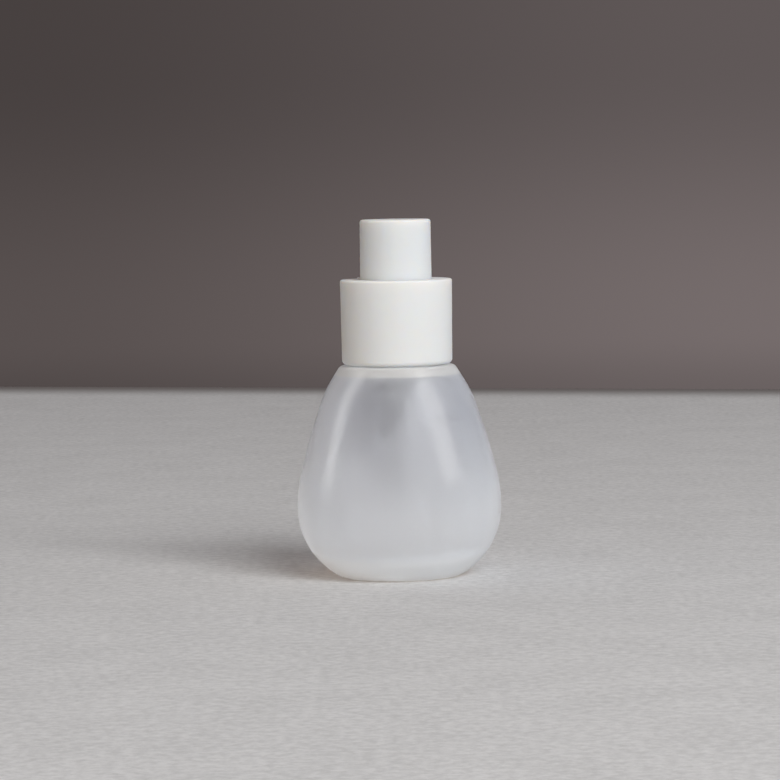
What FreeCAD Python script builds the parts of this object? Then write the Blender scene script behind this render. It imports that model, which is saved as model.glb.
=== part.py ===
"""Pear-shaped frosted bottle with a screw collar and a press-button finger pump.

Millimetres, +Z up. The origin is the centre of the base, on the plane that the bottle stands on.
The outlet of the button points to +Y.
"""
import FreeCAD, Part
import math
import os

# Bottle, outer surface: a chain of tangent arcs from the standing ring up to the shoulder
base_flat_radius = 14.74
standing_ring_width = 3.2
push_up_height = 1.0
heel_radius = 1.8
heel_turn = 28.8
belly_radius = 19.25
flank_radius = 42.0
flank_turn = 12.5
side_radius = 125.0
side_turn = 8.7
shoulder_radius = 28.0
shoulder_turn = 10.8
corner_radius = 1.6
land_height = 52.85
wall = 0.9
shoulder_thickness = 2.9
inner_corner_radius = 1.5
seam_length = 15.0
seam_width = 0.7
seam_depth = 0.35

# Neck and its screw thread
neck_radius = 10.75
neck_bore_radius = 9.2
neck_height = 10.65
neck_root_rounding = 0.6
lip_chamfer = 0.4
thread_lead = 3.0
thread_turns = 1.25
neck_thread_depth = 1.1
neck_thread_root = 2.0
neck_thread_crest = 0.8
neck_thread_below_lip = 1.75
collar_thread_root = 1.5
collar_thread_crest = 0.6
thread_ramp_length = 2.5
thread_overlap = 0.2

# Collar
collar_gap = 0.55
collar_height = 20.9
collar_top_radius = 14.0
collar_foot_radius = 13.8
collar_foot_rounding = 1.2
collar_rim_rounding = 0.45
collar_mouth_rounding = 0.25
collar_bore_radius = 12.25
collar_thread_radius = 11.0
deck_thickness = 1.7
sleeve_radius = 9.2
sleeve_wall = 1.2
sleeve_lip_radius = 8.3
sleeve_lip_height = 0.5
lug_length = 1.7
lug_width = 0.9
lug_height = 0.45
lug_radius = 10.1
lug_azimuth = 155.0

# Button and nozzle insert
button_top_radius = 8.857
button_foot_radius = 8.945
button_shown = 14.95
button_rounding = 0.7
press_room = 0.3
button_wall = 1.1
button_top_thickness = 1.35
socket_wall = 1.2
socket_above_foot = 1.8
outlet_height = 83.5
outlet_radius = 1.2
chamber_radius = 1.5
outlet_wall = 1.4
nozzle_radius = 2.1
nozzle_length = 2.9
nozzle_hole_radius = 0.5
nozzle_bowl_radius = 1.3
nozzle_bowl_depth = 0.7
rib_count = 4
rib_thickness = 0.8
rib_height = 4.0

# Pump: cylinder, stem, piston, valves
stroke = 6.0
valve_travel = 0.8
ball_lift = 0.8
gasket_thickness = 0.9
gasket_radius = 10.5
flange_radius = 10.95
flange_thickness = 1.2
cylinder_bore = 3.7
cylinder_wall = 0.9
stem_radius = 2.0
stem_bore = 1.2
stem_top_height = 80.0
stem_bead_radius = 2.55
stem_bead_height = 0.75
stem_notch_count = 4
stem_notch_width = 1.0
stem_notch_height = 0.9
guide_boss_length = 1.95
guide_plate_radius = 8.85
guide_plate_thickness = 0.7
guide_hub_radius = 8.0
guide_tube_wall = 0.9
guide_tube_height = 0.9
piston_length = 4.0
piston_waist_radius = 2.95
piston_lip_height = 1.1
piston_lip_edge = 0.25
poppet_radius = 3.2
poppet_thickness = 0.9
poppet_boss_radius = 2.15
poppet_boss_length = 1.5
poppet_spigot_length = 3.6
poppet_web = 0.8
ball_radius = 1.4
ball_chamber_radius = 1.75
inlet_radius = 0.9
seat_height = 1.2
seat_above_socket = 0.6
chamber_length = 2.7
ball_nib_count = 3
ball_nib_reach = 0.5
ball_nib_width = 0.5
ball_nib_height = 0.45
vent_radius = 0.35
vent_below_flange = 2.1
spring_wire = 0.7
spring_mean_radius = 2.75
spring_length = 10.5
spring_turns = 5.5
biarcs_per_turn = 4
spring_end_room = 0.1
tube_radius = 1.6
tube_bore = 1.0
tube_clear_of_floor = 1.0
tube_slant = 1.6
tube_socket_length = 5.5
socket_outer_radius = 2.5
floor_thickness = 1.2
taper_length = 2.5

# Clearances, common edge rounding, and how far cutting tools run past a face
running = 0.05
press = 0.02
face_gap = 0.05
small_rounding = 0.3
overrun = 1.0

# Heights worked out from the dimensions above
lip_height = land_height + neck_height
gasket_top = lip_height + gasket_thickness
flange_top = gasket_top + flange_thickness
collar_foot = land_height + collar_gap
collar_top = collar_foot + collar_height
neck_thread_foot = lip_height - neck_thread_below_lip - thread_turns * thread_lead
sleeve_foot = flange_top + face_gap
guide_plate_foot = sleeve_foot + sleeve_lip_height + face_gap
guide_plate_top = guide_plate_foot + guide_plate_thickness
button_foot = guide_plate_top + stroke + press_room
button_top = collar_top + button_shown
guide_boss_foot = flange_top - guide_boss_length
stem_bead_top = guide_boss_foot - face_gap
stem_bead_foot = stem_bead_top - stem_bead_height
piston_top = stem_bead_foot - valve_travel - face_gap
piston_foot = piston_top - piston_length
poppet_top = piston_foot - face_gap
stem_foot = poppet_top + face_gap
poppet_foot = poppet_top - poppet_thickness
spring_foot = poppet_foot - spring_length
seat_foot = spring_foot - chamber_length - seat_height
socket_top = seat_foot - seat_above_socket
housing_foot = socket_top - tube_socket_length
cylinder_radius = cylinder_bore + cylinder_wall
seat_angle = math.atan2(ball_chamber_radius - inlet_radius, seat_height)
seat_apex = seat_foot - inlet_radius / math.tan(seat_angle)
ball_height = seat_apex + ball_radius / math.sin(seat_angle) + face_gap


class Pen:
    """Draws an outline in the radius and height plane; turns stay tangent to the last heading."""

    def __init__(self, radius, height, heading=0.0):
        self.radius = radius
        self.height = height
        self.heading = heading
        self.edges = []

    def point(self):
        return FreeCAD.Vector(self.radius, 0, self.height)

    def line_to(self, radius, height):
        start = self.point()
        self.heading = math.degrees(math.atan2(height - self.height, radius - self.radius))
        self.radius = radius
        self.height = height
        self.edges.append(Part.LineSegment(start, self.point()).toShape())

    def line(self, length):
        angle = math.radians(self.heading)
        self.line_to(self.radius + length * math.cos(angle), self.height + length * math.sin(angle))

    def turn(self, bend, degrees):
        """Arc of the given bend radius; positive degrees turn to the left."""
        side = math.copysign(90.0, degrees)
        to_centre = math.radians(self.heading + side)
        centre_radius = self.radius + bend * math.cos(to_centre)
        centre_height = self.height + bend * math.sin(to_centre)
        points = [self.point()]
        for share in (0.5, 1.0):
            angle = math.radians(self.heading - side + degrees * share)
            self.radius = centre_radius + bend * math.cos(angle)
            self.height = centre_height + bend * math.sin(angle)
            points.append(self.point())
        self.heading += degrees
        self.edges.append(Part.Arc(*points).toShape())

    def dome_to(self, radius, height):
        """Spherical cap from a point on the axis down to the given rim."""
        drop = self.height - height
        sphere = (radius ** 2 + drop ** 2) / (2 * drop)
        middle = radius / 2
        middle_height = self.height - sphere + math.sqrt(sphere ** 2 - middle ** 2)
        start = self.point()
        self.radius = radius
        self.height = height
        self.edges.append(Part.Arc(start, FreeCAD.Vector(middle, 0, middle_height), self.point()).toShape())

    def spin(self):
        """Closes the outline and turns it about the Z axis."""
        first = self.edges[0].Vertexes[0].Point
        if self.point().distanceToPoint(first) > 1e-7:
            self.line_to(first.x, first.z)
        face = Part.Face(Part.Wire(Part.__sortEdges__(self.edges)))
        return face.revolve(FreeCAD.Vector(), FreeCAD.Vector(0, 0, 1), 360)


def turned(corners):
    """Solid of revolution from corners (radius, height) or (radius, height, rounding)."""
    count = len(corners)
    pen = None
    for index, corner in enumerate(corners):
        here = FreeCAD.Vector(corner[0], 0, corner[1])
        before = corners[index - 1]
        after = corners[(index + 1) % count]
        inward = (FreeCAD.Vector(before[0], 0, before[1]) - here).normalize()
        outward = (FreeCAD.Vector(after[0], 0, after[1]) - here).normalize()
        rounding = corner[2] if len(corner) > 2 else 0.0
        inside = inward.getAngle(outward)
        trim = rounding / math.tan(inside / 2)
        arrival = here + inward * trim
        if pen is None:
            pen = Pen(arrival.x, arrival.z)
        else:
            pen.line_to(arrival.x, arrival.z)
        if rounding:
            pen.heading = math.degrees(math.atan2(-inward.z, -inward.x))
            cross = -inward.x * outward.z + inward.z * outward.x
            pen.turn(rounding, math.copysign(180 - math.degrees(inside), cross))
    return pen.spin()


def upright(radius, foot, top, x=0.0, y=0.0):
    return Part.makeCylinder(radius, top - foot, FreeCAD.Vector(x, y, foot))


def along_y(radius, start, end, height):
    return Part.makeCylinder(radius, end - start, FreeCAD.Vector(0, start, height), FreeCAD.Vector(0, 1, 0))


def block(x_start, x_size, y_size, foot, top):
    """Box from x_start along +X, centred on Y."""
    return Part.makeBox(x_size, y_size, top - foot, FreeCAD.Vector(x_start, -y_size / 2, foot))


def spaced(shape, count, start=0.0):
    """Copies of a shape, evenly spaced about the Z axis."""
    copies = []
    for index in range(count):
        copy = shape.copy()
        copy.rotate(FreeCAD.Vector(), FreeCAD.Vector(0, 0, 1), start + 360.0 * index / count)
        copies.append(copy)
    return copies


def ramp_cutter(base, crest, forward):
    """Prism that slopes the end of a thread down to the wall it stands on."""
    depth = crest - base
    side = 1 if forward else -1
    inner = base - depth / 2
    outer = base + 1.5 * depth
    reach = side * 2 * thread_ramp_length
    corners = [(inner, -side * thread_ramp_length / 2), (outer, side * thread_ramp_length * 1.5)]
    corners += [(outer, -reach), (inner, -reach)]
    points = [FreeCAD.Vector(x, y, -thread_lead) for x, y in corners]
    face = Part.Face(Part.makePolygon(points + points[:1]))
    return face.extrude(FreeCAD.Vector(0, 0, (thread_turns + 2) * thread_lead))


def thread_ridge(base, crest, foot, root_width, crest_width):
    """Right-hand helical ridge with sloped ends, standing on a wall of radius base."""
    depth = crest - base
    buried = base - math.copysign(thread_overlap, depth)
    slope = (root_width - crest_width) / 2 / abs(depth)
    buried_half = root_width / 2 + slope * thread_overlap
    crest_half = crest_width / 2
    corners = [(buried, -buried_half), (crest, -crest_half), (crest, crest_half), (buried, buried_half)]
    points = [FreeCAD.Vector(x, 0, z) for x, z in corners]
    section = Part.makePolygon(points + points[:1])
    helix = Part.makeHelix(thread_lead, thread_turns * thread_lead, base)
    ridge = Part.Wire(helix).makePipeShell([section], True, True)
    far_end = ramp_cutter(base, crest, False)
    far_end.rotate(FreeCAD.Vector(), FreeCAD.Vector(0, 0, 1), 360 * thread_turns)
    ridge = ridge.cut(ramp_cutter(base, crest, True)).cut(far_end)
    ridge.translate(FreeCAD.Vector(0, 0, foot))
    return ridge


def draw_wall(pen, inset, ceiling):
    """Wall of the bottle from the standing ring to the ceiling of the shoulder, moved in by inset."""
    pen.line_to(base_flat_radius, inset)
    pen.turn(heel_radius - inset, heel_turn)
    pen.turn(belly_radius - inset, 90 - heel_turn)
    pen.turn(flank_radius - inset, flank_turn)
    pen.turn(side_radius - inset, side_turn)
    pen.turn(shoulder_radius - inset, shoulder_turn)
    bend = inner_corner_radius if inset else corner_radius
    slope = math.radians(pen.heading)
    rise = bend * (1 + math.cos(slope))
    pen.line((ceiling - rise - pen.height) / math.sin(slope))
    pen.turn(bend, 180 - pen.heading)


def bottle():
    ring_inner = base_flat_radius - standing_ring_width
    outside = Pen(0, push_up_height)
    outside.dome_to(ring_inner, 0)
    draw_wall(outside, 0.0, land_height)
    outside.line_to(neck_radius + neck_root_rounding, land_height)
    outside.turn(neck_root_rounding, -90)
    outside.line_to(neck_radius, lip_height - lip_chamfer)
    outside.line_to(neck_radius - lip_chamfer, lip_height)
    outside.line_to(0, lip_height)
    cavity = Pen(0, push_up_height + wall)
    cavity.dome_to(ring_inner, wall)
    draw_wall(cavity, wall, land_height - shoulder_thickness)
    cavity.line_to(neck_bore_radius + inner_corner_radius, cavity.height)
    cavity.turn(inner_corner_radius, -90)
    cavity.line_to(neck_bore_radius, lip_height + overrun)
    cavity.line_to(0, cavity.height)
    body = outside.spin().cut(cavity.spin())
    crest = neck_radius + neck_thread_depth
    ridge = thread_ridge(neck_radius, crest, neck_thread_foot, neck_thread_root, neck_thread_crest)
    seam_foot = push_up_height - seam_depth
    seam = block(-seam_length / 2, seam_length, seam_width, seam_foot, push_up_height + wall / 2)
    return body.fuse([ridge, seam]).removeSplitter()


def collar():
    sleeve_outer = sleeve_radius + sleeve_wall
    lip_top = sleeve_foot + sleeve_lip_height
    ceiling = collar_top - deck_thickness
    body = turned([
        (collar_bore_radius, collar_foot, small_rounding),
        (collar_foot_radius, collar_foot, collar_foot_rounding),
        (collar_top_radius, collar_top, collar_rim_rounding),
        (sleeve_radius, collar_top, collar_mouth_rounding),
        (sleeve_radius, lip_top),
        (sleeve_lip_radius, lip_top),
        (sleeve_lip_radius, sleeve_foot),
        (sleeve_outer, sleeve_foot),
        (sleeve_outer, ceiling, small_rounding),
        (collar_bore_radius, ceiling, small_rounding),
    ])
    ridge_foot = neck_thread_foot - thread_lead / 2
    ridge = thread_ridge(collar_bore_radius, collar_thread_radius, ridge_foot,
                         collar_thread_root, collar_thread_crest)
    lug = block(lug_radius - lug_width / 2, lug_width, lug_length, ceiling + small_rounding,
                collar_top + lug_height)
    top_edges = [edge for edge in lug.Edges if edge.BoundBox.ZMin > collar_top]
    lug = lug.makeFillet(small_rounding, top_edges)
    return body.fuse([ridge] + spaced(lug, 1, lug_azimuth)).removeSplitter()


def button_skin():
    """Outer form of the button, before it is hollowed."""
    return turned([
        (0, button_foot),
        (button_foot_radius, button_foot, small_rounding),
        (button_top_radius, button_top, button_rounding),
        (0, button_top),
    ])


def button():
    ceiling = button_top - button_top_thickness
    socket_foot = button_foot + socket_above_foot
    socket_outer = stem_radius + socket_wall
    hollow = turned([
        (0, button_foot - overrun),
        (button_foot_radius - button_wall, button_foot - overrun),
        (button_top_radius - button_wall, ceiling, small_rounding),
        (0, ceiling),
    ])
    skin = button_skin()
    reach = button_top_radius - button_wall / 2
    core_top = button_top - button_top_thickness / 2
    channel = along_y(outlet_radius + outlet_wall, 0, reach, outlet_height)
    rib = block(0, reach, rib_thickness, ceiling - rib_height, core_top)
    beside_channel = spaced(rib, rib_count, 180.0)[:-1]
    body = skin.cut(hollow).fuse(upright(socket_outer, socket_foot, core_top))
    body = body.fuse(channel).fuse(beside_channel)
    chamber_top = outlet_height + chamber_radius
    body = body.cut(upright(stem_radius + press, socket_foot - overrun, stem_top_height))
    body = body.cut(upright(chamber_radius, stem_top_height - overrun, chamber_top))
    body = body.cut(along_y(outlet_radius, 0, button_foot_radius, outlet_height))
    nozzle_seat = button_foot_radius - nozzle_length
    body = body.cut(along_y(nozzle_radius + press, nozzle_seat, 2 * button_foot_radius, outlet_height))
    return body.removeSplitter()


def nozzle_insert():
    seat = button_foot_radius - nozzle_length
    plug = along_y(nozzle_radius, seat, 2 * button_foot_radius, outlet_height).common(button_skin())
    hole = along_y(nozzle_hole_radius, seat - overrun, 2 * button_foot_radius, outlet_height)
    feed = along_y(outlet_radius, seat - overrun, seat + nozzle_length / 2, outlet_height)
    bowl_start = button_foot_radius - nozzle_bowl_depth
    bowl = Part.makeCone(nozzle_hole_radius, 2 * nozzle_bowl_radius, 2 * nozzle_bowl_depth,
                         FreeCAD.Vector(0, bowl_start, outlet_height), FreeCAD.Vector(0, 1, 0))
    return plug.cut([hole, feed, bowl])


def stem():
    tube = turned([
        (stem_bore, stem_foot),
        (stem_radius, stem_foot),
        (stem_radius, stem_bead_foot),
        (stem_bead_radius, stem_bead_foot),
        (stem_bead_radius, stem_bead_top),
        (stem_radius, stem_bead_top),
        (stem_radius, stem_top_height),
        (stem_bore, stem_top_height),
    ])
    notch = block(0, 2 * stem_radius, stem_notch_width, stem_foot - face_gap, stem_foot + stem_notch_height)
    return tube.cut(spaced(notch, stem_notch_count))


def poppet():
    disc = turned([
        (0, poppet_foot - poppet_boss_length),
        (poppet_boss_radius, poppet_foot - poppet_boss_length, small_rounding),
        (poppet_boss_radius, poppet_foot),
        (poppet_radius, poppet_foot),
        (poppet_radius, poppet_top),
        (0, poppet_top),
    ])
    spigot_top = poppet_top + poppet_spigot_length
    spigot = upright(stem_bore - running, poppet_top - poppet_thickness / 2, spigot_top)
    web = block(-stem_bore, 2 * stem_bore, poppet_web, poppet_top - poppet_thickness, spigot_top)
    crossed = web.fuse(spaced(web, 1, 90.0))
    return disc.fuse(spigot.common(crossed)).removeSplitter()


def piston():
    lip_radius = cylinder_bore - running
    return turned([
        (stem_radius + running, piston_foot),
        (lip_radius - piston_lip_edge, piston_foot),
        (lip_radius, piston_foot),
        (lip_radius, piston_foot + piston_lip_edge),
        (piston_waist_radius, piston_foot + piston_lip_height),
        (piston_waist_radius, piston_top - piston_lip_height),
        (lip_radius, piston_top - piston_lip_edge),
        (lip_radius, piston_top),
        (stem_radius + running, piston_top),
    ])


def helix_biarcs(radius, foot, rise, turns):
    """Tangent arcs that follow a right-hand helix, and the heading at each end."""
    climb = rise / (2 * math.pi * turns)
    length = math.hypot(radius, climb)
    count = round(turns * biarcs_per_turn)

    def place(angle):
        return FreeCAD.Vector(radius * math.cos(angle), radius * math.sin(angle), foot + climb * angle)

    def heading(angle):
        return FreeCAD.Vector(-radius * math.sin(angle), radius * math.cos(angle), climb) / length

    edges = []
    for index in range(count):
        first = 2 * math.pi * index / biarcs_per_turn
        last = 2 * math.pi * (index + 1) / biarcs_per_turn
        span = place(last) - place(first)
        tangents = heading(first) + heading(last)
        spread = 2 * (1 - heading(first).dot(heading(last)))
        along = span.dot(tangents)
        leg = (math.sqrt(along ** 2 + spread * span.dot(span)) - along) / spread
        corners = [place(first) + heading(first) * leg, place(last) - heading(last) * leg]
        joint = (corners[0] + corners[1]) / 2
        for start, corner, end in ((place(first), corners[0], joint), (joint, corners[1], place(last))):
            half_turn = (corner - start).getAngle(end - start)
            middle = (start + end) / 2
            share = math.tan(half_turn / 2) / math.tan(half_turn)
            edges.append(Part.Arc(start, middle + (corner - middle) * share, end).toShape())
    return edges, heading(0), heading(2 * math.pi * turns)


def least_self_gap(edges, wire, turn_length):
    """Least clear distance between stretches of one tube that lie more than half a turn apart."""
    path = Part.Wire(edges)
    points = path.discretize(600)
    step = path.Length / (len(points) - 1)
    apart = int(turn_length / 2 / step)
    nearest = min(
        here.distanceToPoint(there)
        for index, here in enumerate(points)
        for there in points[index + apart:]
    )
    return nearest - wire


def return_spring():
    foot = spring_foot + spring_end_room + spring_wire / 2
    rise = spring_length - spring_wire - 2 * spring_end_room
    edges, first_heading, last_heading = helix_biarcs(spring_mean_radius, foot, rise, spring_turns)
    start = edges[0].Vertexes[0].Point
    end = edges[-1].Vertexes[1].Point
    entry = start - first_heading * spring_wire
    leave = end + last_heading * spring_wire
    path = [Part.LineSegment(entry, start).toShape()] + edges + [Part.LineSegment(end, leave).toShape()]
    gap = least_self_gap(path, spring_wire, 2 * math.pi * spring_mean_radius)
    print("return_spring least gap to itself: %.2f mm" % gap)
    section = Part.Wire(Part.Circle(entry, first_heading, spring_wire / 2).toShape())
    return Part.Wire(path).makePipeShell([section], True, False)


def inlet_ball():
    return Part.makeSphere(ball_radius, FreeCAD.Vector(0, 0, ball_height))


def pump_housing():
    cylinder_foot = spring_foot - floor_thickness
    body = turned([
        (tube_radius + press, housing_foot),
        (socket_outer_radius, housing_foot, small_rounding),
        (socket_outer_radius, cylinder_foot - taper_length),
        (cylinder_radius, cylinder_foot),
        (cylinder_radius, gasket_top, small_rounding),
        (flange_radius, gasket_top),
        (flange_radius, flange_top, small_rounding),
        (cylinder_bore, flange_top),
        (cylinder_bore, spring_foot),
        (ball_chamber_radius, spring_foot),
        (ball_chamber_radius, seat_foot + seat_height),
        (inlet_radius, seat_foot),
        (inlet_radius, socket_top),
        (tube_radius + press, socket_top),
    ])
    nib_radius = ball_chamber_radius - ball_nib_reach
    nib_foot = ball_height + ball_lift + math.sqrt(ball_radius ** 2 - nib_radius ** 2) + face_gap
    nib = block(nib_radius, 2 * ball_nib_reach, ball_nib_width, nib_foot, nib_foot + ball_nib_height)
    vent_height = gasket_top - vent_below_flange
    vent = Part.makeCylinder(vent_radius, 2 * cylinder_radius, FreeCAD.Vector(0, 0, vent_height),
                             FreeCAD.Vector(1, 0, 0))
    return body.fuse(spaced(nib, ball_nib_count)).cut(vent).removeSplitter()


def stem_guide():
    bore = stem_radius + running
    tube_top = guide_plate_top + guide_tube_height
    return turned([
        (bore, guide_boss_foot),
        (cylinder_bore - press, guide_boss_foot),
        (cylinder_bore - press, flange_top),
        (guide_hub_radius, flange_top),
        (guide_hub_radius, guide_plate_foot),
        (guide_plate_radius, guide_plate_foot),
        (guide_plate_radius, guide_plate_top, small_rounding),
        (bore + guide_tube_wall, guide_plate_top),
        (bore + guide_tube_wall, tube_top, small_rounding),
        (bore, tube_top),
    ])


def neck_gasket():
    return turned([
        (neck_bore_radius + press, lip_height),
        (gasket_radius, lip_height),
        (gasket_radius, gasket_top),
        (neck_bore_radius + press, gasket_top),
    ])


def dip_tube():
    tip = push_up_height + wall + tube_clear_of_floor
    bore = upright(tube_bore, tip - overrun, socket_top + overrun)
    tube = upright(tube_radius, tip, socket_top).cut(bore)
    slope = math.degrees(math.atan2(tube_slant, 2 * tube_radius))
    wedge = Part.makeBox(8 * tube_radius, 4 * tube_radius, 2 * tube_slant,
                         FreeCAD.Vector(-4 * tube_radius, -2 * tube_radius, -2 * tube_slant))
    wedge.rotate(FreeCAD.Vector(), FreeCAD.Vector(0, 1, 0), -slope)
    wedge.translate(FreeCAD.Vector(0, 0, tip + tube_slant / 2))
    return tube.cut(wedge)


pieces = (
    bottle,
    collar,
    button,
    nozzle_insert,
    stem,
    poppet,
    piston,
    return_spring,
    inlet_ball,
    pump_housing,
    stem_guide,
    neck_gasket,
    dip_tube,
)

os.makedirs("parts", exist_ok=True)
for piece in pieces:
    shape = piece()
    box = shape.BoundBox
    print("%-14s valid %s solids %d volume %8.1f z %6.2f to %6.2f"
          % (piece.__name__, shape.isValid(), len(shape.Solids), shape.Volume, box.ZMin, box.ZMax))
    shape.exportStep("parts/%s.step" % piece.__name__)
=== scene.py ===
"""Looks of a frosted pump bottle: shells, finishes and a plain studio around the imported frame."""
import math

import bmesh
import bpy
from bpy.props import FloatProperty, FloatVectorProperty, IntProperty, PointerProperty
from mathutils import Matrix, Quaternion, Vector


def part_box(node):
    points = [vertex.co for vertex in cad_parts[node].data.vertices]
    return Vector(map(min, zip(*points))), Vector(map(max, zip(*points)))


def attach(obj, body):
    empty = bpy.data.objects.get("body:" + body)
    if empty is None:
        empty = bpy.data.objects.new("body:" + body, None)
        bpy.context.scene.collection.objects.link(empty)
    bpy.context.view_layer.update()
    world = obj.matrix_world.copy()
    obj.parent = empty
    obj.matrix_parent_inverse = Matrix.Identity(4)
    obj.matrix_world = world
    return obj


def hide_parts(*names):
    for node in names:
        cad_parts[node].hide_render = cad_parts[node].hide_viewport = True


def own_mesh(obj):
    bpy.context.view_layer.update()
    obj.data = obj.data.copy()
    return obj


bl_info = {
    "name": "Frosted pump bottle",
    "version": (1, 0, 0),
    "blender": (4, 5, 0),
    "location": "3D View > Sidebar > Pump bottle",
    "description": "Models and finishes a frosted bottle with a screw collar and a finger pump",
    "category": "Object",
}

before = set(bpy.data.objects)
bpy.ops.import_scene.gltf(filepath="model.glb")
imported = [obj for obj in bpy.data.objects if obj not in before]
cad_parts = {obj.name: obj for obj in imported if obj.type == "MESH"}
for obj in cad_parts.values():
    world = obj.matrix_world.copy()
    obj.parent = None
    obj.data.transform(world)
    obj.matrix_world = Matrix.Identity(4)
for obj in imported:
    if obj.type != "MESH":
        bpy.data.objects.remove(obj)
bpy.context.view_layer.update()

MM = 0.001
MERGE = 0.0005 * MM
SHARP = math.radians(35)
SHARP_JOINED = math.radians(40)
THREAD_END_DIP = 0.1  # part of the buried depth
LUG_EDGE = 0.6  # part of the lug's height
SEAM_LINE = (0.05 * MM, 0.22 * MM)  # half width of the parting line, full and at its end
NATURAL_CLOUD = 0.93  # darker cloud, as a part of the colour
STEEL_CLOUD = 0.85
BOTTLE_LOW, BOTTLE_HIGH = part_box("bottle")
COLLAR_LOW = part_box("collar")[0]
BUTTON_LOW, BUTTON_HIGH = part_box("button")
NOZZLE_LOW, NOZZLE_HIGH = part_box("nozzle_insert")
SPRING_LOW, SPRING_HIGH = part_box("return_spring")

# Backdrop: where each fade starts and ends, as a part of a unit direction, and how far it dims
BACKDROP_TOP = (-0.05, 0.03)
BACKDROP_FOOT = (-0.075, -0.055)
BACKDROP_SPAN = (-0.13, 0.13)
BACKDROP_DEPTH = (0.78, 0.94)
BACKDROP_TOP_DIM = 0.35
BACKDROP_FOOT_DIM = 0.2


def length(name, description, default):
    """Property for a length in metres."""
    return FloatProperty(name=name, description=description, default=default, unit="LENGTH",
                         precision=5)


def angle(name, description, degrees):
    """Property for an angle."""
    return FloatProperty(name=name, description=description, default=math.radians(degrees),
                         subtype="ANGLE")


def share(name, description, default):
    """Property for a part of a whole."""
    return FloatProperty(name=name, description=description, default=default, subtype="FACTOR",
                         min=0, max=1)


def power(name, description, watts):
    """Property for the power of a lamp."""
    return FloatProperty(name=name, description=description, default=watts, unit="POWER", min=0)


def colour(name, description, default):
    """Property for a colour in linear light."""
    return FloatVectorProperty(name=name, description=description, default=default,
                               subtype="COLOR", min=0, max=1)


class BottleSizes(bpy.types.PropertyGroup):
    """Outline of the blown bottle, from the standing ring up to the lip"""

    base_flat: length("Base flat", "Radius of the flat standing ring's outer edge", 14.74 * MM)
    ring_width: length("Ring width", "Width of the standing ring", 3.2 * MM)
    push_up: length("Push-up", "Height of the hollow under the base", 1.0 * MM)
    heel: length("Heel", "Rounding between base and belly", 1.8 * MM)
    heel_turn: angle("Heel turn", "Angle that the heel turns through", 28.8)
    belly: length("Belly", "Bend radius below the widest place", 19.25 * MM)
    flank: length("Flank", "Bend radius above the widest place", 42.0 * MM)
    flank_turn: angle("Flank turn", "Angle that the flank turns through", 12.5)
    side: length("Side", "Bend radius of the long side", 125.0 * MM)
    side_turn: angle("Side turn", "Angle that the side turns through", 8.7)
    shoulder: length("Shoulder", "Bend radius of the shoulder", 28.0 * MM)
    shoulder_turn: angle("Shoulder turn", "Angle that the shoulder turns through", 10.8)
    corner: length("Corner", "Rounding of the shoulder's upper edge", 1.6 * MM)
    land: length("Land", "Height of the flat shoulder under the collar", 52.85 * MM)
    wall: length("Wall", "Thickness of the blown wall", 0.9 * MM)
    crown: length("Crown", "Thickness of the shoulder round the neck", 2.9 * MM)
    inner_corner: length("Inner corner", "Rounding inside the shoulder", 1.5 * MM)
    neck: length("Neck", "Outer radius of the neck", 10.75 * MM)
    bore: length("Bore", "Inner radius of the neck", 9.2 * MM)
    lip: length("Lip", "Height of the lip", BOTTLE_HIGH[2])
    lip_edge: length("Lip edge", "Rounding of the lip", 0.4 * MM)
    seam_length: length("Seam length", "Length of the pinch seam under the base", 15.0 * MM)
    seam_width: length("Seam width", "Width of the pinch seam", 0.7 * MM)
    seam_height: length("Seam height", "How far the pinch seam stands out", 0.35 * MM)


class ThreadSizes(bpy.types.PropertyGroup):
    """Screw thread of neck and collar"""

    lead: length("Lead", "Rise of the thread in one turn", 3.0 * MM)
    turns: FloatProperty(name="Turns", description="Turns of each thread", default=1.25)
    foot: length("Foot", "Height of the neck thread's lower end", 58.0 * MM)
    depth: length("Depth", "How far the neck thread stands out", 1.1 * MM)
    root: length("Root", "Width of the neck thread at the wall", 2.0 * MM)
    crest: length("Crest", "Width of the neck thread at its crest", 0.8 * MM)
    inner_depth: length("Inner depth", "How far the collar thread stands in", 1.25 * MM)
    inner_root: length("Inner root", "Width of the collar thread at the wall", 1.5 * MM)
    inner_crest: length("Inner crest", "Width of the collar thread at its crest", 0.6 * MM)
    ramp: length("Ramp", "Length over which a thread's end slopes off", 2.5 * MM)
    buried: length("Buried", "How deep a thread's root sits in the wall", 0.2 * MM)


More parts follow.
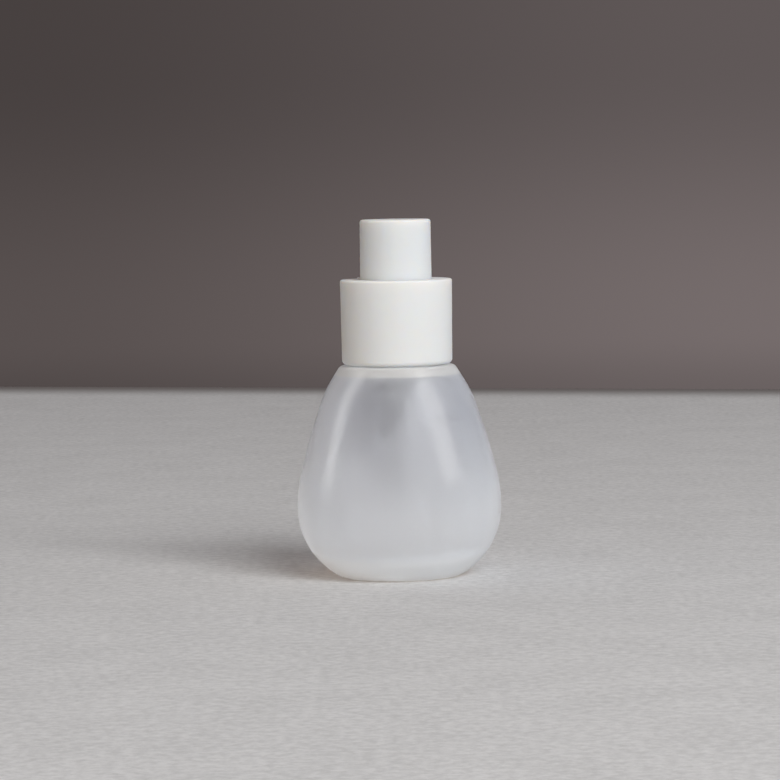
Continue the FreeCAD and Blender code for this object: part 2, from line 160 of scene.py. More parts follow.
class ClosureSizes(bpy.types.PropertyGroup):
    """Collar and button"""

    collar_foot_radius: length("Collar foot radius", "Outer radius at the collar's foot", 13.8 * MM)
    collar_top_radius: length("Collar top radius", "Outer radius at the collar's deck", 14.0 * MM)
    collar_foot: length("Collar foot", "Height of the collar's foot, close above the shoulder",
                        COLLAR_LOW[2] - 0.33 * MM)
    deck: length("Deck", "Height of the collar's deck", 74.3 * MM)
    deck_thickness: length("Deck thickness", "Thickness of the collar's deck", 1.7 * MM)
    foot_edge: length("Foot edge", "Rounding of the collar's foot", 1.2 * MM)
    rim_edge: length("Rim edge", "Rounding of the deck's outer edge", 0.45 * MM)
    mouth_edge: length("Mouth edge", "Rounding of the deck's inner edge", 0.25 * MM)
    collar_bore: length("Collar bore", "Inner radius of the collar's skirt", 12.25 * MM)
    sleeve: length("Sleeve", "Inner radius of the guide sleeve", 9.2 * MM)
    sleeve_wall: length("Sleeve wall", "Wall of the guide sleeve", 1.2 * MM)
    sleeve_foot: length("Sleeve foot", "Height of the guide sleeve's foot", 65.65 * MM)
    sleeve_lip: length("Sleeve lip", "Inner radius of the lip trapped on the pump", 8.3 * MM)
    sleeve_lip_height: length("Sleeve lip height", "Thickness of that lip", 0.5 * MM)
    lug_length: length("Lug length", "Length of the small lug on the deck", 1.7 * MM)
    lug_width: length("Lug width", "Width of the small lug", 0.9 * MM)
    lug_height: length("Lug height", "Height of the small lug", 0.45 * MM)
    lug_radius: length("Lug radius", "Distance of the small lug from the axis", 10.1 * MM)
    lug_azimuth: angle("Lug azimuth", "Direction of the small lug from the axis", 155.0)
    button_foot_radius: length("Button foot radius", "Outer radius at the button's foot",
                               BUTTON_HIGH[0])
    button_top_radius: length("Button top radius", "Outer radius at the button's top", 8.857 * MM)
    button_foot: length("Button foot", "Height of the button's foot", BUTTON_LOW[2])
    button_top: length("Button top", "Height of the button's top", BUTTON_HIGH[2])
    button_edge: length("Button edge", "Rounding of the button's top edge", 0.7 * MM)
    button_wall: length("Button wall", "Wall of the button's skirt", 1.1 * MM)
    button_roof: length("Button roof", "Thickness of the button's top", 1.35 * MM)
    socket: length("Socket", "Inner radius of the stem socket", 2.02 * MM)
    socket_wall: length("Socket wall", "Wall of the stem socket", 1.2 * MM)
    socket_foot: length("Socket foot", "Height of the stem socket's foot", 75.0 * MM)
    socket_top: length("Socket top", "Height where the stem stops", 80.0 * MM)
    chamber: length("Chamber", "Radius of the chamber above the stem", 1.5 * MM)
    chamber_top: length("Chamber top", "Height of the chamber's roof", 85.0 * MM)
    nozzle: length("Nozzle", "Radius of the recess for the nozzle insert", 2.12 * MM)
    outlet: length("Outlet", "Radius of the outlet channel", 1.2 * MM)
    outlet_wall: length("Outlet wall", "Wall of the outlet channel", 1.4 * MM)
    rib: length("Rib", "Thickness of the ribs under the button's top", 0.8 * MM)
    rib_height: length("Rib height", "Height of the ribs below the button's ceiling", 4.0 * MM)
    rib_edge: length("Rib edge", "Rounding of the ribs", 0.1 * MM)
    small_edge: length("Small edge", "Rounding of hidden edges", 0.3 * MM)


class SpringSizes(bpy.types.PropertyGroup):
    """Return spring of the pump"""

    wire: length("Wire", "Diameter of the spring's wire", 0.7 * MM)
    coil: length("Coil", "Radius from the axis to the middle of the wire", 2.75 * MM)
    foot: length("Foot", "Height of the spring's foot", SPRING_LOW[2])
    top: length("Top", "Height of the spring's top", SPRING_HIGH[2])
    turns: FloatProperty(name="Turns", description="Turns of the spring", default=5.5)
    pressed: length("Pressed", "How much shorter a full press makes the spring", 6.0 * MM)


class MeshDetail(bpy.types.PropertyGroup):
    """How finely round forms are divided"""

    spin_steps: IntProperty(name="Spin steps", description="Faces round a turned piece",
                            default=192)
    bend_step: angle("Bend step", "Largest angle between points of a rounded outline", 5.0)
    dome_steps: IntProperty(name="Dome steps", description="Rings in the dome under the base",
                            default=12)
    thread_steps: IntProperty(name="Thread steps", description="Sections in one turn of a thread",
                              default=72)
    coil_steps: IntProperty(name="Coil steps", description="Sections in one turn of the spring",
                            default=48)
    wire_sides: IntProperty(name="Wire sides", description="Faces round the spring's wire",
                            default=16)
    bar_sides: IntProperty(name="Bar sides", description="Faces round the outlet", default=64)
    edge_steps: IntProperty(name="Edge steps", description="Faces across a block's rounded edge",
                            default=4)


class FrostShares(bpy.types.PropertyGroup):
    """How milky the wall is, from 0 for clear to 1 for milky, and where"""

    haze: share("Haze", "Milkiness all over", 0.03)
    cloud: share("Cloud", "More of it in soft clouds", 0.06)
    crown: share("Crown", "More of it in the thick shoulder", 0.54)
    # towards the foot the wall gets milkier, and its clear tint changes from the darker, bluer
    # upper tint to the lighter lower one (painted shade)
    foot: share("Foot", "More of it towards the foot", 0.37)
    # the base is milkier and, through its whiter milk colour, brighter: partly a thicker base,
    # partly painted light
    base: share("Base", "More of it in the thick base", 0.66)
    rim: share("Rim", "More of it where the wall is seen edge-on", 0.37)
    worn: share("Worn", "More of it in worn places", 0.05)
    scuff: share("Scuff", "More of it in the fine marks of worn places", 0.16)
    lit: share("Lit", "Part of the milk that is lit from behind", 0.72)
    lit_crown: share("Lit crown", "How much smaller that part is in the shoulder", 0.28)
    lit_base: share("Lit base", "How much smaller that part is in the base", 0.30)
    shadow: share("Shadow", "Light that the wall lets into its shadow", 0.5)
    shadow_base: share("Shadow base", "More of it through the base", 0.3)
    crown_low: length("Crown low", "Where the shoulder's milk starts, above its ceiling", 0.25 * MM)
    crown_full: length("Crown full", "Where it is full, above the ceiling", 0.85 * MM)
    base_full: length("Base full", "Height up to which the base is milky", 4.5 * MM)
    base_end: length("Base end", "Height where the base's milk ends", 8.5 * MM)
    foot_full: length("Foot full", "Height up to which the foot is milky", 4.0 * MM)
    foot_end: length("Foot end", "Height where the foot's milk ends", 44.0 * MM)


class FinishColours(bpy.types.PropertyGroup):
    """Colours of the finishes, in linear light"""

    # painted shade: the upper wall's clear tint is darker and bluer than the lower wall's, standing
    # in for the cool shade of the dim backdrop
    frost: colour("Frost", "Tint of light that passes the upper wall", (0.90, 0.925, 0.98))
    frost_low: colour("Frost low", "Tint of light that passes the lower wall",
                      (0.962, 0.977, 0.985))
    milk: colour("Milk", "Light that the milky wall throws back", (0.889, 0.922, 0.978))
    glow: colour("Glow", "Light that the milky wall lets through", (0.923, 0.943, 0.965))
    # partly a thicker base, partly painted light: much whiter milk in the base, standing in for
    # light gathered in the bottle's foot
    thick_base_painted_light: colour("Base glow", "Thick wall round the base", (0.968, 0.984, 0.993))
    shade: colour("Shade", "Light that the wall lets into its shadow", (0.96, 0.87, 0.78))
    crown_milk: colour("Crown milk", "Thick wall round the neck", (0.94, 0.93, 0.895))
    white: colour("White", "White closure", (0.80, 0.80, 0.79))
    white_shade: colour("White shade", "Faint cloud in the white closure", (0.77, 0.77, 0.76))
    natural: colour("Natural", "Uncoloured plastic of the pump", (0.78, 0.78, 0.77))
    soft: colour("Soft", "Soft plastic of seal and piston", (0.74, 0.74, 0.72))
    steel: colour("Steel", "Spring and ball", (0.62, 0.62, 0.63))
    floor: colour("Floor", "Pale floor", (0.70, 0.698, 0.70))
    floor_fleck: colour("Floor fleck", "Fine fleck in the floor", (0.555, 0.553, 0.555))
    # painted shade: the floor's colour at its far edge, where the edge falls into shade
    floor_edge_shade: colour("Floor edge", "Floor at its far edge", (0.20, 0.18, 0.175))
    backdrop_left: colour("Backdrop left", "Backdrop on the left", (0.098, 0.081, 0.079))
    backdrop_right: colour("Backdrop right", "Backdrop on the right", (0.180, 0.151, 0.150))
    key_light: colour("Key light", "Colour of the key lamp", (1.0, 0.995, 0.98))
    front_light: colour("Front light", "Colour of the front lamp", (1.0, 0.96, 0.90))
    sky_left: colour("Sky left", "Soft light from the left", (0.165, 0.118, 0.082))
    sky_right: colour("Sky right", "Soft light from the right", (0.235, 0.255, 0.30))


class StageSetup(bpy.types.PropertyGroup):
    """Camera, floor and lamps"""

    camera_distance: length("Camera distance", "Distance of the camera from the bottle", 0.800)
    camera_height: length("Camera height", "Height of the camera above the floor", 0.1042)
    camera_pitch: angle("Camera pitch", "How far the camera looks down", math.degrees(0.072))
    camera_yaw: angle("Camera yaw", "How far the camera looks to the left", math.degrees(0.0024))
    camera_roll: angle("Camera roll", "How far the camera is rolled", math.degrees(-0.016))
    camera_lens: FloatProperty(name="Lens", description="Focal length in mm", default=147.6)
    camera_sensor: FloatProperty(name="Sensor", description="Width of the sensor in mm",
                                 default=36.0)
    camera_near: length("Camera near", "Nearest distance that the camera sees", 0.01)
    floor_reach: length("Floor reach", "Half width of the floor", 2.4)
    floor_back: length("Floor back", "Distance of the floor's back edge", 0.657)
    floor_turn: angle("Floor turn", "How far the floor's back edge is turned", -15.0)
    # width of the painted shade strip along the floor's back edge
    floor_shade_width: length("Floor fade", "Width of the darker strip at the back edge", 60 * MM)
    key_power: power("Key power", "Power of the main lamp", 42.5)
    front_power: power("Front power", "Power of the front lamp", 6.3)
    rear_power: power("Rear power", "Power of the rear lamp", 2.0)
    right_power: power("Right power", "Power of the right window", 4.2)
    left_power: power("Left power", "Power of the left strip", 2.6)


def sizes(name):
    """One of the scene's groups of values."""
    return getattr(bpy.context.scene, name)


class Outline:
    """Points of a turned outline in radius and height; turns stay tangent to the last heading."""

    def __init__(self, radius, height):
        self.here = Vector((radius, height))
        self.heading = 0.0
        self.points = [self.here.copy()]

    def to(self, radius, height):
        """Straight line."""
        there = Vector((radius, height))
        step = there - self.here
        self.heading = math.atan2(step.y, step.x)
        self.here = there
        self.points.append(there.copy())

    def turn(self, bend, swing):
        """Arc of radius bend through the angle swing."""
        side = math.copysign(math.pi / 2, swing)
        inward = self.heading + side
        centre = self.here + bend * Vector((math.cos(inward), math.sin(inward)))
        count = max(2, math.ceil(abs(swing) / sizes("mesh_detail").bend_step))
        for index in range(1, count + 1):
            way = self.heading - side + swing * index / count
            self.points.append(centre + bend * Vector((math.cos(way), math.sin(way))))
        self.here = self.points[-1].copy()
        self.heading += swing

    def dome(self, radius, height):
        """Spherical cap from the axis down to a rim."""
        steps = sizes("mesh_detail").dome_steps
        drop = self.here.y - height
        sphere = (radius ** 2 + drop ** 2) / (2 * drop)
        centre = self.here.y - sphere
        for index in range(1, steps + 1):
            reach = radius * index / steps
            self.points.append(Vector((reach, centre + math.sqrt(sphere ** 2 - reach ** 2))))
        self.here = self.points[-1].copy()


def rounded(corners):
    """Closed outline through corners (radius, height) or (radius, height, rounding)."""
    outline = None
    for index, corner in enumerate(corners):
        here = Vector(corner[:2])
        inward = (Vector(corners[index - 1][:2]) - here).normalized()
        outward = (Vector(corners[(index + 1) % len(corners)][:2]) - here).normalized()
        rounding = corner[2] if len(corner) > 2 else 0.0
        inside = inward.angle(outward)
        arrival = here + inward * rounding / math.tan(inside / 2)
        if outline is None:
            outline = Outline(*arrival)
        else:
            outline.to(*arrival)
        if rounding:
            outline.heading = math.atan2(-inward.y, -inward.x)
            cross = inward.y * outward.x - inward.x * outward.y
            outline.turn(rounding, math.copysign(math.pi - inside, cross))
    return outline.points


def turned(points, closed=True):
    """Spins an outline about the Z axis into a closed bmesh."""
    shape = bmesh.new()
    verts = [shape.verts.new((point.x, 0, point.y)) for point in points]
    pairs = list(zip(verts, verts[1:]))
    if closed:
        pairs.append((verts[-1], verts[0]))
    edges = [shape.edges.new(pair) for pair in pairs]
    bmesh.ops.spin(shape, geom=verts + edges, axis=(0, 0, 1), cent=(0, 0, 0),
                   angle=2 * math.pi, steps=sizes("mesh_detail").spin_steps, use_merge=True)
    return cleaned(shape)


def cleaned(shape):
    """Merges double points, then turns all faces outwards."""
    bmesh.ops.remove_doubles(shape, verts=shape.verts, dist=MERGE)
    bmesh.ops.dissolve_degenerate(shape, edges=shape.edges, dist=MERGE)
    bmesh.ops.recalc_face_normals(shape, faces=shape.faces)
    return shape


def thread_ridge(base, depth, foot, root, crest):
    """Helical ridge on a wall of radius base, sloped off at its ends; negative depth is inwards."""
    thread = sizes("thread_sizes")
    per_turn = sizes("mesh_detail").thread_steps
    count = round(thread.turns * per_turn)
    ramp = thread.ramp / base
    buried = math.copysign(thread.buried, depth)
    shape = bmesh.new()
    section = [(-buried, -root / 2), (depth, -crest / 2), (depth, crest / 2), (-buried, root / 2)]
    verts = [shape.verts.new((base + reach, 0, foot + rise)) for reach, rise in section]
    face = shape.faces.new(verts)
    end = 2 * math.pi * count / per_turn

    def place(corners, index):
        way = 2 * math.pi * index / per_turn
        slope = min(1.0, way / ramp, (end - way) / ramp)
        top = depth * slope if slope else -buried * THREAD_END_DIP
        climb = thread.lead * index / per_turn
        for vert, (reach, rise) in zip(corners, section):
            out = base + (reach if reach == -buried else top)
            vert.co = (out * math.cos(way), out * math.sin(way), foot + rise + climb)

    place(verts, 0)
    for index in range(1, count + 1):
        grown = bmesh.ops.extrude_discrete_faces(shape, faces=[face])["faces"]
        face = grown[0]
        place([loop.vert for loop in face.loops], index)
    return cleaned(shape)


def block(size, centre, edge):
    """Small block with rounded edges."""
    shape = bmesh.new()
    bmesh.ops.create_cube(shape, size=1.0)
    bmesh.ops.scale(shape, vec=size, verts=shape.verts)
    bmesh.ops.bevel(shape, geom=shape.edges[:], offset=edge, affect="EDGES",
                    segments=sizes("mesh_detail").edge_steps, profile=0.5, material=-1)
    bmesh.ops.translate(shape, vec=centre, verts=shape.verts)
    return shape


def bar(radius, start, end, height):
    """Round bar along +Y, between two distances from the axis."""
    shape = bmesh.new()
    bmesh.ops.create_cone(shape, cap_ends=True, segments=sizes("mesh_detail").bar_sides,
                          radius1=radius, radius2=radius, depth=end - start)
    bmesh.ops.rotate(shape, cent=(0, 0, 0), matrix=Matrix.Rotation(math.pi / 2, 3, "X"),
                     verts=shape.verts)
    bmesh.ops.translate(shape, vec=(0, (start + end) / 2, height), verts=shape.verts)
    return shape


def about_axis(shape, azimuth):
    """Turns a shape about the bottle's axis."""
    bmesh.ops.rotate(shape, cent=(0, 0, 0), matrix=Matrix.Rotation(azimuth, 3, "Z"),
                     verts=shape.verts)
    return shape


def add_piece(name, shape):
    """Makes an object from a finished bmesh, smooth between its sharp edges."""
    mesh = bpy.data.meshes.new(name)
    shape.to_mesh(mesh)
    shape.free()
    mesh.shade_smooth()
    mesh.set_sharp_from_angle(angle=SHARP)
    piece = bpy.data.objects.new(name, mesh)
    bpy.context.scene.collection.objects.link(piece)
    return piece


def joined(piece, shape, operation):
    """Applies one exact union or difference to a piece's mesh."""
    other = add_piece("joined_shape", shape)
    change = piece.modifiers.new("change", "BOOLEAN")
    change.operation = operation
    change.solver = "EXACT"
    change.object = other
    graph = bpy.context.evaluated_depsgraph_get()
    changed = bpy.data.meshes.new_from_object(piece.evaluated_get(graph))
    if not changed.polygons:
        raise RuntimeError("nothing is left of " + piece.name)
    piece.modifiers.clear()
    spent = (piece.data, other.data)
    piece.data = changed
    bpy.data.objects.remove(other)
    for mesh in spent:
        bpy.data.meshes.remove(mesh)
    changed.name = piece.name


class Value:
    """A shader socket that takes part in arithmetic; each operation adds a Math node."""

    def __init__(self, finish, socket):
        self.finish = finish
        self.socket = socket

    def maths(self, operation, *operands):
        """Adds one Math node."""
        inputs = dict(enumerate(operands))
        node = self.finish.node("ShaderNodeMath", {"operation": operation}, inputs)
        return Value(self.finish, node.outputs[0])

    def __add__(self, other):
        return self.maths("ADD", self, other)

    __radd__ = __add__

    def __mul__(self, other):
        return self.maths("MULTIPLY", self, other)

    def __sub__(self, other):
        return self.maths("SUBTRACT", self, other)

    def __rsub__(self, other):
        return self.maths("SUBTRACT", other, self)

    def __abs__(self):
        return self.maths("ABSOLUTE", self)

    def between(self, low, high):
        """0 below low, 1 above high, smooth between."""
        inputs = {"Value": self, "From Min": low, "From Max": high}
        settings = {"interpolation_type": "SMOOTHSTEP"}
        node = self.finish.node("ShaderNodeMapRange", settings, inputs)
        return Value(self.finish, node.outputs[0])


def socket_of(sockets, name):
    """Socket by its place, its name or, where names repeat, its identifier."""
    if isinstance(name, int):
        return sockets[name]
    return next(socket for socket in sockets if name in (socket.identifier, socket.name))


class Finish:
    """Node tree of one material, or of the world."""

    def __init__(self, owner, coords="Object"):
        owner.use_nodes = True
        self.owner = owner
        self.tree = owner.node_tree
        self.tree.nodes.clear()
        self.coords = self.node("ShaderNodeTexCoord").outputs[coords]

    def node(self, kind, settings=None, inputs=None):
        """Any node, from its type, its settings and the values or links of its sockets."""
        node = self.tree.nodes.new(kind)
        for name, value in (settings or {}).items():
            setattr(node, name, value)
        for name, value in (inputs or {}).items():
            socket = socket_of(node.inputs, name)
            if isinstance(value, Value):
                value = value.socket
            if isinstance(value, bpy.types.NodeSocket):
                self.tree.links.new(value, socket)
            else:
                socket.default_value = value
        return node

    def noise(self, scale, detail=2.0, roughness=0.5, coords=None):
        """Soft noise; scale is in waves per metre."""
        inputs = {"Vector": coords or self.coords, "Scale": scale, "Detail": detail,
                  "Roughness": roughness}
        return Value(self, self.node("ShaderNodeTexNoise", None, inputs).outputs[0])

    def stretched(self, scale):
        """Coordinates drawn out along an axis."""
        inputs = {"Vector": self.coords, "Scale": scale}
        return self.node("ShaderNodeMapping", None, inputs).outputs[0]

    def axis(self, letter):
        """One coordinate."""
        node = self.node("ShaderNodeSeparateXYZ", None, {"Vector": self.coords})
        return Value(self, node.outputs[letter])

    def mix(self, factor, first, second):
        """Colour between two colours, each a triple or a socket."""
        ends = [end if isinstance(end, bpy.types.NodeSocket) else (*end, 1.0)
                for end in (first, second)]
        inputs = {"Factor_Float": factor, "A_Color": ends[0], "B_Color": ends[1]}
        node = self.node("ShaderNodeMix", {"data_type": "RGBA"}, inputs)
        return socket_of(node.outputs, "Result_Color")

    def bump(self, height, distance, strength=1.0):
        """Normal of a surface with fine relief."""
        inputs = {"Height": height, "Distance": distance, "Strength": strength}
        return self.node("ShaderNodeBump", None, inputs).outputs[0]

    def plastic(self, colour, roughness, normal, constants):
        """Main shader, with its constant values."""
        inputs = {"Base Color": colour, "Roughness": roughness, "Normal": normal, **constants}
        return self.node("ShaderNodeBsdfPrincipled", None, inputs)

    def blend(self, factor, first, second):
        """Shader between two shaders."""
        inputs = {0: factor, 1: first.outputs[0], 2: second.outputs[0]}
        return self.node("ShaderNodeMixShader", None, inputs)

    def show(self, shader, output="ShaderNodeOutputMaterial"):
        """Ends the tree and returns its owner."""
        self.node(output, None, {"Surface": shader.outputs[0]})
        return self.owner


def frosted_wall():
    """Blown polyethylene: smooth outside, blurred and faintly milky within."""
    tints = sizes("finish_colours")
    frost = sizes("frost_shares")
    bottle = sizes("bottle_sizes")
    finish = Finish(bpy.data.materials.new("frosted_wall"))
    cloud = finish.noise(scale=70.0, detail=3.0)
    streak = finish.noise(scale=260.0, coords=finish.stretched((1.0, 1.0, 0.12)))
    grain = finish.noise(scale=3200.0, detail=1.0)
    orange_peel = finish.noise(scale=520.0)
    height = finish.axis("Z")
    ceiling = bottle.land - bottle.crown
    crown = height.between(ceiling + frost.crown_low, ceiling + frost.crown_full)
    # base: 1 up to base_full, fading out by base_end; milkier and whiter there, partly as painted
    # light
    base = 1 - height.between(frost.base_full, frost.base_end)
    # foot: 1 at the foot, fading out upwards; it makes the wall milkier and fades out the painted
    # shade of the upper tint
    foot = 1 - height.between(frost.foot_full, frost.foot_end)
    facing = finish.node("ShaderNodeLayerWeight", None, {"Blend": 0.5})
    rim = Value(finish, facing.outputs["Facing"])
    seam = 1 - abs(finish.axis("Y")).between(*SEAM_LINE)
    relief = grain * 0.25 + orange_peel * 0.6 + seam * 0.8
    normal = finish.bump(relief, distance=0.02 * MM, strength=0.6)
    roughness = 0.49 + cloud * 0.10 + streak * 0.04
    gloss = {"Coat Weight": 1.0, "Coat Roughness": 0.17, "Coat IOR": 1.45,
             "Specular IOR Level": 0.0}
    # painted shade: the clear wall's tint is darker and bluer above and lighter towards the foot
    clear_colour_painted_shade = finish.mix(foot, tints.frost, tints.frost_low)
    passing = {"IOR": 1.3, "Transmission Weight": 1.0, **gloss}
    clear = finish.plastic(clear_colour_painted_shade, roughness, normal, passing)
    # painted light, partly a thicker base: the milk turns whiter towards the base
    lower_milk = finish.mix(base, tints.milk, tints.thick_base_painted_light)
    milk_colour = finish.mix(crown, lower_milk, tints.crown_milk)
    milk = finish.plastic(milk_colour, roughness, normal, gloss)
    lit = {"Color": (*tints.glow, 1.0), "Normal": normal}
    glow = finish.node("ShaderNodeBsdfTranslucent", None, lit)
    lit_share = frost.lit - crown * frost.lit_crown - base * frost.lit_base
    body = finish.blend(lit_share, milk, glow)
    worn = finish.noise(scale=90.0).between(0.40, 0.60)
    scuff = finish.noise(scale=750.0, detail=3.0, roughness=0.6).between(0.48, 0.62) * (1 - foot)
    density = (frost.haze + cloud * frost.cloud + crown * frost.crown + foot * frost.foot
               + base * frost.base + rim * rim * frost.rim
               + worn * frost.worn + worn * scuff * frost.scuff)
    wall = finish.blend(density, clear, body)
    through = finish.node("ShaderNodeBsdfTransparent", None, {"Color": (*tints.shade, 1.0)})
    shadow = Value(finish, finish.node("ShaderNodeLightPath").outputs["Is Shadow Ray"])
    let_in = shadow * (frost.shadow + base * frost.shadow_base)
    return finish.show(finish.blend(let_in, wall, through))


def satin_white():
    """Moulded white plastic with a fine satin grain."""
    tints = sizes("finish_colours")
    finish = Finish(bpy.data.materials.new("satin_white"))
    cloud = finish.noise(scale=55.0, detail=3.0)
    grain = finish.noise(scale=4200.0, detail=1.0)
    flow = finish.noise(scale=300.0, coords=finish.stretched((1.0, 1.0, 0.2)))
    normal = finish.bump(grain * 0.5 + flow * 0.3, distance=0.012 * MM, strength=0.5)
    roughness = 0.40 + cloud * 0.08 + grain * 0.05
    colour = finish.mix(cloud, tints.white, tints.white_shade)
    body = {"IOR": 1.46, "Specular IOR Level": 0.25, "Subsurface Weight": 0.7,
            "Subsurface Scale": 3.5 * MM, "Subsurface Radius": (1.0, 0.8, 0.6)}
    return finish.show(finish.plastic(colour, roughness, normal, body))


def natural_plastic(name, tint, passing):
    """Uncoloured plastic of the pump's inner pieces."""
    finish = Finish(bpy.data.materials.new(name))
    cloud = finish.noise(scale=160.0)
    grain = finish.noise(scale=3000.0, detail=1.0)
    normal = finish.bump(grain, distance=0.01 * MM, strength=0.4)
    roughness = 0.34 + cloud * 0.12
    colour = finish.mix(cloud, tint, [part * NATURAL_CLOUD for part in tint])
    body = {"IOR": 1.49, "Transmission Weight": passing}
    return finish.show(finish.plastic(colour, roughness, normal, body))


def drawn_steel(name, dull):
    """Steel wire or ball with fine drawing marks."""
    finish = Finish(bpy.data.materials.new(name))
    tint = sizes("finish_colours").steel
    draw = finish.noise(scale=1800.0)
    cloud = finish.noise(scale=300.0)
    normal = finish.bump(draw, distance=0.006 * MM, strength=0.3)
    roughness = dull + draw * 0.12 + cloud * 0.05
    colour = finish.mix(cloud, tint, [part * STEEL_CLOUD for part in tint])
    return finish.show(finish.plastic(colour, roughness, normal, {"Metallic": 1.0}))


def pale_floor():
    """Pale flecked floor with painted shade that darkens it towards its far edge."""
    tints = sizes("finish_colours")
    stage = sizes("stage_setup")
    finish = Finish(bpy.data.materials.new("pale_floor"))
    fleck = finish.noise(scale=420.0, detail=4.0, roughness=0.65)
    patch = finish.noise(scale=45.0)
    along, across = math.cos(stage.floor_turn), math.sin(stage.floor_turn)
    back = finish.axis("Y") * along - finish.axis("X") * across
    edge = stage.floor_back * along
    # painted shade: the floor's colour darkens towards its back edge
    far = back.between(edge - stage.floor_shade_width, edge)
    flecked = (fleck * 0.8 + patch * 0.2).between(0.3, 0.7)
    grained = finish.mix(flecked, tints.floor, tints.floor_fleck)
    colour = finish.mix(far, grained, tints.floor_edge_shade)
    normal = finish.bump(fleck, distance=0.4 * MM, strength=0.5)
    roughness = 0.8 + fleck * 0.1
    return finish.show(finish.plastic(colour, roughness, normal, {"Specular IOR Level": 0.2}))


def put(piece, material, body, slot, *nodes):
    """Gives a finished piece its material, its body and the nodes that it stands for; slot is not
    used.
    """
    piece.data.materials.clear()
    piece.data.materials.append(material)
    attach(piece, body)
    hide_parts(*nodes)


def dress(node, material):
    """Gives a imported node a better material."""
    for slot in bpy.data.objects[node].material_slots:
        slot.material = material


class MakeBottle(bpy.types.Operator):
    """Models the frosted bottle with its neck thread and pinch seam"""

    bl_idname = "pump_bottle.bottle"
    bl_label = "Bottle"

    def wall(self, outline, bottle, inset, ceiling, bend):
        """Wall from the standing ring to the shoulder, moved in by inset."""
        outline.to(bottle.base_flat, inset)
        outline.turn(bottle.heel - inset, bottle.heel_turn)
        outline.turn(bottle.belly - inset, math.pi / 2 - bottle.heel_turn)
        outline.turn(bottle.flank - inset, bottle.flank_turn)
        outline.turn(bottle.side - inset, bottle.side_turn)
        outline.turn(bottle.shoulder - inset, bottle.shoulder_turn)
        rise = bend * (1 + math.cos(outline.heading))
        top = ceiling - rise
        run = (top - outline.here.y) / math.tan(outline.heading)
        outline.to(outline.here.x + run, top)
        outline.turn(bend, math.pi - outline.heading)

    def execute(self, context):
        bottle = sizes("bottle_sizes")
        thread = sizes("thread_sizes")
        ring = bottle.base_flat - bottle.ring_width
        outside = Outline(0, bottle.push_up)
        outside.dome(ring, 0)
        self.wall(outside, bottle, 0, bottle.land, bottle.corner)
        outside.to(bottle.neck + bottle.lip_edge, bottle.land)
        outside.turn(bottle.lip_edge, -math.pi / 2)
        outside.to(bottle.neck, bottle.lip - bottle.lip_edge)
        outside.turn(bottle.lip_edge, math.pi / 2)
        inside = Outline(0, bottle.push_up + bottle.wall)
        inside.dome(ring, bottle.wall)
        self.wall(inside, bottle, bottle.wall, bottle.land - bottle.crown, bottle.inner_corner)
        inside.to(bottle.bore + bottle.inner_corner, inside.here.y)
        inside.turn(bottle.inner_corner, -math.pi / 2)
        inside.to(bottle.bore, bottle.lip)
        shell = turned(outside.points + inside.points[::-1], closed=False)
        piece = add_piece("frosted_bottle", shell)
        ridge = thread_ridge(bottle.neck, thread.depth, thread.foot, thread.root, thread.crest)
        joined(piece, ridge, "UNION")
        seam_size = (bottle.seam_length, bottle.seam_width, bottle.seam_height + bottle.wall / 2)
        seam_middle = bottle.push_up + (bottle.wall / 2 - bottle.seam_height) / 2
        joined(piece, block(seam_size, (0, 0, seam_middle), bottle.seam_width / 4), "UNION")
        piece.data.set_sharp_from_angle(angle=SHARP_JOINED)
        put(piece, frosted_wall(), "bottle", "frosted_bottle", "bottle")
        return {"FINISHED"}


class MakeCollar(bpy.types.Operator):
    """Models the screw collar with its inner thread and deck lug"""

    bl_idname = "pump_bottle.collar"
    bl_label = "Collar"

    def execute(self, context):
        part = sizes("closure_sizes")
        thread = sizes("thread_sizes")
        ceiling = part.deck - part.deck_thickness
        lip_top = part.sleeve_foot + part.sleeve_lip_height
        sleeve_outer = part.sleeve + part.sleeve_wall
        shell = turned(rounded([
            (part.collar_bore, part.collar_foot, part.small_edge),
            (part.collar_foot_radius, part.collar_foot, part.foot_edge),
            (part.collar_top_radius, part.deck, part.rim_edge),
            (part.sleeve, part.deck, part.mouth_edge),
            (part.sleeve, lip_top),
            (part.sleeve_lip, lip_top),
            (part.sleeve_lip, part.sleeve_foot),
            (sleeve_outer, part.sleeve_foot),
            (sleeve_outer, ceiling, part.small_edge),
            (part.collar_bore, ceiling, part.small_edge),
        ]))
        piece = add_piece("screw_collar", shell)
        foot = thread.foot - thread.lead / 2
        ridge = thread_ridge(part.collar_bore, -thread.inner_depth, foot, thread.inner_root,
                             thread.inner_crest)
        joined(piece, ridge, "UNION")
        lug_size = (part.lug_width, part.lug_length, 2 * part.lug_height)
        lug = block(lug_size, (part.lug_radius, 0, part.deck), part.lug_height * LUG_EDGE)
        joined(piece, about_axis(lug, part.lug_azimuth), "UNION")
        piece.data.set_sharp_from_angle(angle=SHARP_JOINED)
        put(piece, satin_white(), "collar", "white_closure", "collar")
        return {"FINISHED"}


